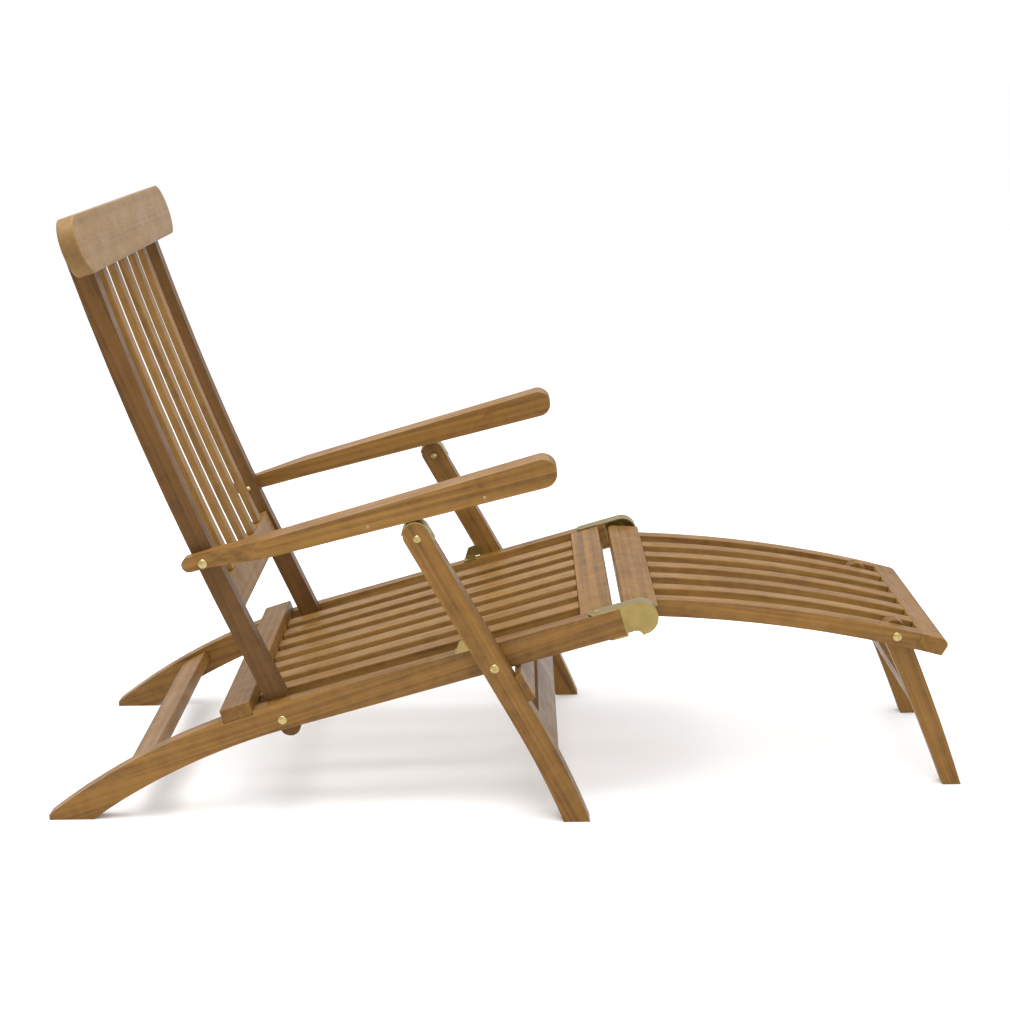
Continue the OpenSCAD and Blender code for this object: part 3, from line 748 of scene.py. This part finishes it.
def polish(item, ease=0.00025):
    """Rounds the sharp edges of a head and marks them worn."""
    bm = bmesh.new()
    bm.from_mesh(item.data)
    bmesh.ops.remove_doubles(bm, verts=bm.verts, dist=1e-6)
    sharp = [e for e in bm.edges if len(e.link_faces) == 2 and e.calc_face_angle(0.0) > math.radians(40)]
    worn = bm.faces.layers.float.new("worn")
    before = set(bm.faces)
    bmesh.ops.bevel(bm, geom=sharp, offset=ease, segments=1, profile=0.5, affect="EDGES", clamp_overlap=True)
    for face in bm.faces:
        face[worn] = 0.0 if face in before else 1.0
        face.smooth = True
    bm.to_mesh(item.data)
    bm.free()
    return item


SHANK = 0.0035


def pivot_bolt(name, grip):
    """Slotted head at the top, shank, and a domed nut at -grip, all in one closed solid."""
    head = dome_profile(0.0080, 0.0036, 0.0)[:-1]
    nut = [(r, -grip - h) for r, h in dome_profile(0.0065, 0.0045, 0.0)[:-1]]
    item = lathe(name, head + [(SHANK, 0.0), (SHANK, -grip)] + nut[::-1])
    return polish(cut_slots(item, [(0.02, 0.0016, 0.0)], 0.0016, 0.0036))


def cross_screw(name, radius, height, depth):
    item = lathe(name, dome_profile(radius, height, -0.0002))
    slots = [(radius * 1.25, radius * 0.2, 0.0), (radius * 1.25, radius * 0.2, math.pi / 2)]
    return polish(cut_slots(item, slots, depth, height), 0.0001)


print("heads: slotted pivot bolts and cross-slotted screws")

# %% Geometry Nodes: fasteners on points
def fastener_tree():
    tree, take, give = geometry_tree("fasteners on points", [("Fastener", "Object"), ("Metal", "Material")])
    info = tree.nodes.new("GeometryNodeObjectInfo")
    tree.links.new(take.outputs["Fastener"], info.inputs["Object"])
    aim = tree.nodes.new("FunctionNodeAlignRotationToVector")
    aim.axis = "Z"
    tree.links.new(named(tree, "facing", "FLOAT_VECTOR"), aim.inputs["Vector"])
    copies = tree.nodes.new("GeometryNodeInstanceOnPoints")
    tree.links.new(take.outputs["Geometry"], copies.inputs["Points"])
    tree.links.new(info.outputs["Geometry"], copies.inputs["Instance"])
    tree.links.new(aim.outputs["Rotation"], copies.inputs["Rotation"])
    spin = put(tree, "ShaderNodeCombineXYZ", Z=named(tree, "turn", "FLOAT"))
    turned = tree.nodes.new("GeometryNodeRotateInstances")
    tree.links.new(copies.outputs["Instances"], turned.inputs["Instances"])
    tree.links.new(spin.outputs[0], turned.inputs["Rotation"])
    turned.inputs["Local Space"].default_value = True
    loose = tree.nodes.new("GeometryNodeRealizeInstances")
    tree.links.new(turned.outputs["Instances"], loose.inputs["Geometry"])
    metal = tree.nodes.new("GeometryNodeSetMaterial")
    tree.links.new(loose.outputs["Geometry"], metal.inputs["Geometry"])
    tree.links.new(take.outputs["Metal"], metal.inputs["Material"])
    tree.links.new(metal.outputs["Geometry"], give.inputs["Geometry"])
    return tree


FASTENERS = fastener_tree()


def fasteners(name, template, spots, body, nodes, material=BOLT_BRASS):
    """Copies of a fastener at (place, facing, turn) spots, as one piece."""
    mesh = bpy.data.meshes.new(name)
    mesh.from_pydata([tuple(place) for place, _, _ in spots], [], [])
    mesh.attributes.new("facing", "FLOAT_VECTOR", "POINT").data.foreach_set(
        "vector", [c for _, facing, _ in spots for c in facing])
    mesh.attributes.new("turn", "FLOAT", "POINT").data.foreach_set("value", [turn for _, _, turn in spots])
    piece = bpy.data.objects.new(name, mesh)
    bpy.context.scene.collection.objects.link(piece)
    run_tree(piece, FASTENERS, {"Fastener": template, "Metal": material})
    bpy.data.objects.remove(template)
    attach(piece, body)
    if nodes:
        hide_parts(*nodes)
    print(name + ":", len(spots), "fasteners,", len(piece.data.polygons), "faces")
    return piece


# %% [markdown]
# The places come from the frame itself: a pivot's axis is its joint's, and a screw stands on
# the middle of its own solid.

# %% Pivot bolts
HEAD_TALL = 0.0036
NUT_TALL = 0.0045
SIGN = {"left": 1.0, "right": -1.0}


def pivot_spots(joint, bolt_box, turns):
    """Both heads of a pivot: on the joint's axis, at the outer end of the bolt's solid."""
    x, _, z = JOINTS[joint]["pos_m"]
    reach = bolt_box[1][1] - HEAD_TALL
    return [(Vector((x, SIGN[s] * reach, z)), (0, SIGN[s], 0), t) for s, t in zip(SIDES, turns)]


GRIPS = {"back_pivot_bolts": 0.053, "leg_pivot_bolts": 0.0605, "footrest_leg_bolts": 0.053}
for node, joint, turns in (("back_pivot_bolts", "back_fold", (0.4, 1.45)),
                           ("leg_pivot_bolts", "fold", (1.2, 0.3)),
                           ("footrest_leg_bolts", "footrest_leg_fold", (0.9, 1.25))):
    bolt = pivot_bolt("bolt", GRIPS[node])
    fasteners(node + "_set", bolt, pivot_spots(joint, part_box(node), turns), BODY_OF[node], [node])
for side, turn in zip(SIDES, (0.7, 2.0)):
    node = "arm_bolt_" + side
    x, _, z = JOINTS["arm_fold_" + side]["pos_m"]
    low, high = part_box(node)
    reach = high[1] - HEAD_TALL if side == "left" else low[1] + HEAD_TALL
    bolt = pivot_bolt("bolt", abs(high[1] - low[1]) - HEAD_TALL - NUT_TALL)
    fasteners(node + "_set", bolt, [((x, reach, z), (0, SIGN[side], 0), turn)], node, [node])

# %% Screws of the straps and caps
SLOPE = math.radians(15.4)
LEG_LEAN = math.radians(28.4)
STRAP_MIDDLE_Z = 0.32
STRAP_SCREW = (0.005, 0.0009, 0.0007)
STRAP_SCREW_SINK = 0.0006
CAP_SCREW = (0.0045, 0.0026, 0.0012)
CAP_SCREW_SINK = 0.0013
CAP_BOLT = (0.0065, 0.0032, 0.0016)


def islands(node):
    """The separate solids of a node, as (middle, lowest, highest) of each."""
    bm = bmesh.new()
    bm.from_mesh(NODES[node].data)
    bmesh.ops.remove_doubles(bm, verts=bm.verts, dist=MERGE)
    left = set(bm.verts)
    found = []
    while left:
        stack = [left.pop()]
        group = list(stack)
        while stack:
            for edge in stack.pop().link_edges:
                for v in edge.verts:
                    if v in left:
                        left.remove(v)
                        group.append(v)
                        stack.append(v)
        low = Vector(min(v.co[i] for v in group) for i in range(3))
        high = Vector(max(v.co[i] for v in group) for i in range(3))
        found.append(((low + high) / 2, low, high))
    bm.free()
    return sorted(found, key=lambda f: tuple(f[0]))


rail_up = Vector((-math.sin(SLOPE), 0, math.cos(SLOPE)))
strap_spots = []
for k, (middle, _, _) in enumerate(islands("knee_cup_screws")):
    facing = rail_up if middle.z > STRAP_MIDDLE_Z else -rail_up
    strap_spots.append((middle - facing * STRAP_SCREW_SINK, tuple(facing), 0.3 + 0.7 * k))
fasteners("strap_screws", cross_screw("screw", *STRAP_SCREW), strap_spots,
          "seat_frame", ["knee_cup_screws"])

leg_forward = Vector((math.cos(LEG_LEAN), 0, math.sin(LEG_LEAN)))
cap_spots = []
for k, (middle, _, _) in enumerate(islands("leg_cap_screws")):
    cap_spots.append((middle - leg_forward * CAP_SCREW_SINK, tuple(leg_forward), 0.5 * k))
fasteners("cap_screws", cross_screw("screw", *CAP_SCREW), cap_spots, "leg_frame", ["leg_cap_screws"])

bolt_spots = []
for k, (middle, low, high) in enumerate(islands("leg_cap_bolts")):
    for facing, face in ((1.0, high.y - CAP_BOLT[1]), (-1.0, low.y + CAP_BOLT[1])):
        bolt_spots.append((Vector((middle.x, face, middle.z)), (0, facing, 0), 0.2 + k + facing))
fasteners("cap_bolts", cross_screw("screw", *CAP_BOLT), bolt_spots, "leg_frame", ["leg_cap_bolts"])

# %% [markdown]
# ## Plugs in the arms, and the pins of the footrest
#
# The rack under each arm is pinned from the side, and a plug of lighter wood closes each hole.
# A plug is a short round of wood, its end grain flush with the arm. The footrest's pins stay
# as the frame has them and only get their brass.

# %% Plugs and pins
PLUG_LONG = 0.02
PLUG_SINK = 0.0001


def plug_set(side):
    node = "rack_pins_" + side
    bm = bmesh.new()
    for middle, low, high in islands(node):
        radius = (high.z - low.z) / 2
        outer = high.y if side == "left" else low.y
        inner = outer - SIGN[side] * PLUG_LONG
        bmesh.ops.create_cone(
            bm, cap_ends=True, segments=28, radius1=radius, radius2=radius, depth=abs(outer - inner),
            matrix=Matrix.Translation((middle.x, (outer + inner) / 2 - SIGN[side] * PLUG_SINK, middle.z))
            @ Matrix.Rotation(math.pi / 2, 4, "X"))
    worn = bm.faces.layers.float.new("worn")
    for face in bm.faces:
        face[worn] = 0.0
    lay_grain(bm, 0.2)
    piece = finished(bm, "arm_plugs_" + side, PLUG_WOOD)
    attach(piece, BODY_OF[node])
    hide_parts(node)
    return piece


for side in SIDES:
    plug_set(side)
pins = NODES["footrest_pivot_pins"]
pins.data.materials.clear()
pins.data.materials.append(BRASS)
print("plugs and pins done")
